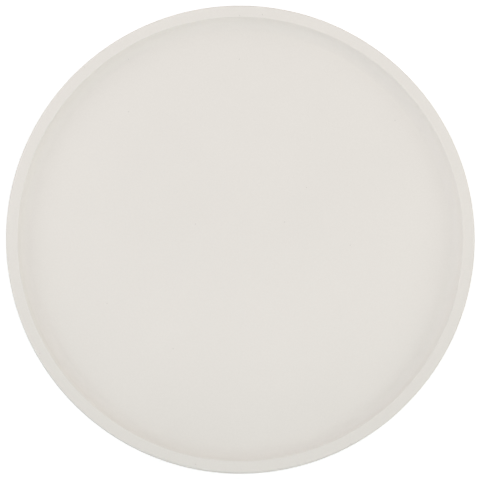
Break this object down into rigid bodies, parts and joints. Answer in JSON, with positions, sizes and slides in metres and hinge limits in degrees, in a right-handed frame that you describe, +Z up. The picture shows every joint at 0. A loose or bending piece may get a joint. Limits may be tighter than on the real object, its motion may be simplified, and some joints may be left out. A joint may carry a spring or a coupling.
{
  "type": "lazy susan turntable",
  "caption": "Round matt-lacquered serving tray with a raised rim, turning freely on a ball bearing above a smaller board on rubber feet.",
  "frame": {"origin": "on the surface that the feet stand on, under the tray's centre, on the turning axis", "axes": "+Z up along the turning axis, +X towards the screwdriver hole in the base"},
  "size_m": [0.4059, 0.406, 0.0481],
  "materials": {
    "tray_lacquer": "matt off-white lacquer",
    "base_lacquer": "matt off-white lacquer",
    "plated_sheet": "zinc plated",
    "hub_steel": "rolled, zinc plated",
    "ball_steel": "polished",
    "cage_nylon": "natural nylon",
    "plated_screws": "zinc plated",
    "washer_steel": "plain steel",
    "foot_rubber": "moulded, matt"
  },
  "bodies": {
    "base": {"base": "base_lacquer", "lower_bearing_plate": "plated_sheet", "bearing_hub": "hub_steel", "lower_plate_screws": "plated_screws", "foot_1": "foot_rubber", "foot_2": "foot_rubber", "foot_3": "foot_rubber", "foot_4": "foot_rubber", "foot_5": "foot_rubber", "foot_6": "foot_rubber", "foot_washers": "washer_steel", "foot_screws": "plated_screws"},
    "tray": {"tray": "tray_lacquer", "upper_bearing_plate": "plated_sheet", "upper_plate_screws": "plated_screws"},
    "cage": {"ball_cage": "cage_nylon"},
    "ball_01": {"ball_01": "ball_steel"},
    "ball_02": {"ball_02": "ball_steel"},
    "ball_03": {"ball_03": "ball_steel"},
    "ball_04": {"ball_04": "ball_steel"},
    "ball_05": {"ball_05": "ball_steel"},
    "ball_06": {"ball_06": "ball_steel"},
    "ball_07": {"ball_07": "ball_steel"},
    "ball_08": {"ball_08": "ball_steel"},
    "ball_09": {"ball_09": "ball_steel"},
    "ball_10": {"ball_10": "ball_steel"},
    "ball_11": {"ball_11": "ball_steel"},
    "ball_12": {"ball_12": "ball_steel"},
    "ball_13": {"ball_13": "ball_steel"},
    "ball_14": {"ball_14": "ball_steel"},
    "ball_15": {"ball_15": "ball_steel"},
    "ball_16": {"ball_16": "ball_steel"},
    "ball_17": {"ball_17": "ball_steel"},
    "ball_18": {"ball_18": "ball_steel"},
    "ball_19": {"ball_19": "ball_steel"},
    "ball_20": {"ball_20": "ball_steel"},
    "ball_21": {"ball_21": "ball_steel"},
    "ball_22": {"ball_22": "ball_steel"},
    "ball_23": {"ball_23": "ball_steel"},
    "ball_24": {"ball_24": "ball_steel"}
  },
  "joints": [
    {"name": "tray_spin", "type": "hinge", "parent": "base", "child": "tray", "pos_m": [0, 0, 0.02403], "axis": [0, 0, 1], "continuous": true},
    {"name": "cage_orbit", "type": "hinge", "parent": "base", "child": "cage", "pos_m": [0, 0, 0.02403], "axis": [0, 0, 1], "continuous": true},
    {"name": "ball_01_roll", "type": "hinge", "parent": "cage", "child": "ball_01", "pos_m": [0.04999, 0, 0.02403], "axis": [1, 0, 0], "continuous": true},
    {"name": "ball_02_roll", "type": "hinge", "parent": "cage", "child": "ball_02", "pos_m": [0.04828, 0.01294, 0.02403], "axis": [0.9659, 0.2588, 0], "continuous": true},
    {"name": "ball_03_roll", "type": "hinge", "parent": "cage", "child": "ball_03", "pos_m": [0.04329, 0.02499, 0.02403], "axis": [0.866, 0.5, 0], "continuous": true},
    {"name": "ball_04_roll", "type": "hinge", "parent": "cage", "child": "ball_04", "pos_m": [0.03535, 0.03535, 0.02403], "axis": [0.7071, 0.7071, 0], "continuous": true},
    {"name": "ball_05_roll", "type": "hinge", "parent": "cage", "child": "ball_05", "pos_m": [0.02499, 0.04329, 0.02403], "axis": [0.5, 0.866, 0], "continuous": true},
    {"name": "ball_06_roll", "type": "hinge", "parent": "cage", "child": "ball_06", "pos_m": [0.01294, 0.04828, 0.02403], "axis": [0.2588, 0.9659, 0], "continuous": true},
    {"name": "ball_07_roll", "type": "hinge", "parent": "cage", "child": "ball_07", "pos_m": [0, 0.04999, 0.02403], "axis": [0, 1, 0], "continuous": true},
    {"name": "ball_08_roll", "type": "hinge", "parent": "cage", "child": "ball_08", "pos_m": [-0.01294, 0.04828, 0.02403], "axis": [-0.2588, 0.9659, 0], "continuous": true},
    {"name": "ball_09_roll", "type": "hinge", "parent": "cage", "child": "ball_09", "pos_m": [-0.02499, 0.04329, 0.02403], "axis": [-0.5, 0.866, 0], "continuous": true},
    {"name": "ball_10_roll", "type": "hinge", "parent": "cage", "child": "ball_10", "pos_m": [-0.03535, 0.03535, 0.02403], "axis": [-0.7071, 0.7071, 0], "continuous": true},
    {"name": "ball_11_roll", "type": "hinge", "parent": "cage", "child": "ball_11", "pos_m": [-0.04329, 0.02499, 0.02403], "axis": [-0.866, 0.5, 0], "continuous": true},
    {"name": "ball_12_roll", "type": "hinge", "parent": "cage", "child": "ball_12", "pos_m": [-0.04828, 0.01294, 0.02403], "axis": [-0.9659, 0.2588, 0], "continuous": true},
    {"name": "ball_13_roll", "type": "hinge", "parent": "cage", "child": "ball_13", "pos_m": [-0.04999, 0, 0.02403], "axis": [-1, 0, 0], "continuous": true},
    {"name": "ball_14_roll", "type": "hinge", "parent": "cage", "child": "ball_14", "pos_m": [-0.04828, -0.01294, 0.02403], "axis": [-0.9659, -0.2588, 0], "continuous": true},
    {"name": "ball_15_roll", "type": "hinge", "parent": "cage", "child": "ball_15", "pos_m": [-0.04329, -0.02499, 0.02403], "axis": [-0.866, -0.5, 0], "continuous": true},
    {"name": "ball_16_roll", "type": "hinge", "parent": "cage", "child": "ball_16", "pos_m": [-0.03535, -0.03535, 0.02403], "axis": [-0.7071, -0.7071, 0], "continuous": true},
    {"name": "ball_17_roll", "type": "hinge", "parent": "cage", "child": "ball_17", "pos_m": [-0.02499, -0.04329, 0.02403], "axis": [-0.5, -0.866, 0], "continuous": true},
    {"name": "ball_18_roll", "type": "hinge", "parent": "cage", "child": "ball_18", "pos_m": [-0.01294, -0.04828, 0.02403], "axis": [-0.2588, -0.9659, 0], "continuous": true},
    {"name": "ball_19_roll", "type": "hinge", "parent": "cage", "child": "ball_19", "pos_m": [0, -0.04999, 0.02403], "axis": [0, -1, 0], "continuous": true},
    {"name": "ball_20_roll", "type": "hinge", "parent": "cage", "child": "ball_20", "pos_m": [0.01294, -0.04828, 0.02403], "axis": [0.2588, -0.9659, 0], "continuous": true},
    {"name": "ball_21_roll", "type": "hinge", "parent": "cage", "child": "ball_21", "pos_m": [0.02499, -0.04329, 0.02403], "axis": [0.5, -0.866, 0], "continuous": true},
    {"name": "ball_22_roll", "type": "hinge", "parent": "cage", "child": "ball_22", "pos_m": [0.03535, -0.03535, 0.02403], "axis": [0.7071, -0.7071, 0], "continuous": true},
    {"name": "ball_23_roll", "type": "hinge", "parent": "cage", "child": "ball_23", "pos_m": [0.04329, -0.02499, 0.02403], "axis": [0.866, -0.5, 0], "continuous": true},
    {"name": "ball_24_roll", "type": "hinge", "parent": "cage", "child": "ball_24", "pos_m": [0.04828, -0.01294, 0.02403], "axis": [0.9659, -0.2588, 0], "continuous": true}
  ],
  "couplings": [
    {"joint": "cage_orbit", "follows": "tray_spin", "ratio": 0.5},
    {"joint": "ball_01_roll", "follows": "tray_spin", "ratio": -10.496},
    {"joint": "ball_02_roll", "follows": "tray_spin", "ratio": -10.496},
    {"joint": "ball_03_roll", "follows": "tray_spin", "ratio": -10.496},
    {"joint": "ball_04_roll", "follows": "tray_spin", "ratio": -10.496},
    {"joint": "ball_05_roll", "follows": "tray_spin", "ratio": -10.496},
    {"joint": "ball_06_roll", "follows": "tray_spin", "ratio": -10.496},
    {"joint": "ball_07_roll", "follows": "tray_spin", "ratio": -10.496},
    {"joint": "ball_08_roll", "follows": "tray_spin", "ratio": -10.496},
    {"joint": "ball_09_roll", "follows": "tray_spin", "ratio": -10.496},
    {"joint": "ball_10_roll", "follows": "tray_spin", "ratio": -10.496},
    {"joint": "ball_11_roll", "follows": "tray_spin", "ratio": -10.496},
    {"joint": "ball_12_roll", "follows": "tray_spin", "ratio": -10.496},
    {"joint": "ball_13_roll", "follows": "tray_spin", "ratio": -10.496},
    {"joint": "ball_14_roll", "follows": "tray_spin", "ratio": -10.496},
    {"joint": "ball_15_roll", "follows": "tray_spin", "ratio": -10.496},
    {"joint": "ball_16_roll", "follows": "tray_spin", "ratio": -10.496},
    {"joint": "ball_17_roll", "follows": "tray_spin", "ratio": -10.496},
    {"joint": "ball_18_roll", "follows": "tray_spin", "ratio": -10.496},
    {"joint": "ball_19_roll", "follows": "tray_spin", "ratio": -10.496},
    {"joint": "ball_20_roll", "follows": "tray_spin", "ratio": -10.496},
    {"joint": "ball_21_roll", "follows": "tray_spin", "ratio": -10.496},
    {"joint": "ball_22_roll", "follows": "tray_spin", "ratio": -10.496},
    {"joint": "ball_23_roll", "follows": "tray_spin", "ratio": -10.496},
    {"joint": "ball_24_roll", "follows": "tray_spin", "ratio": -10.496}
  ]
}
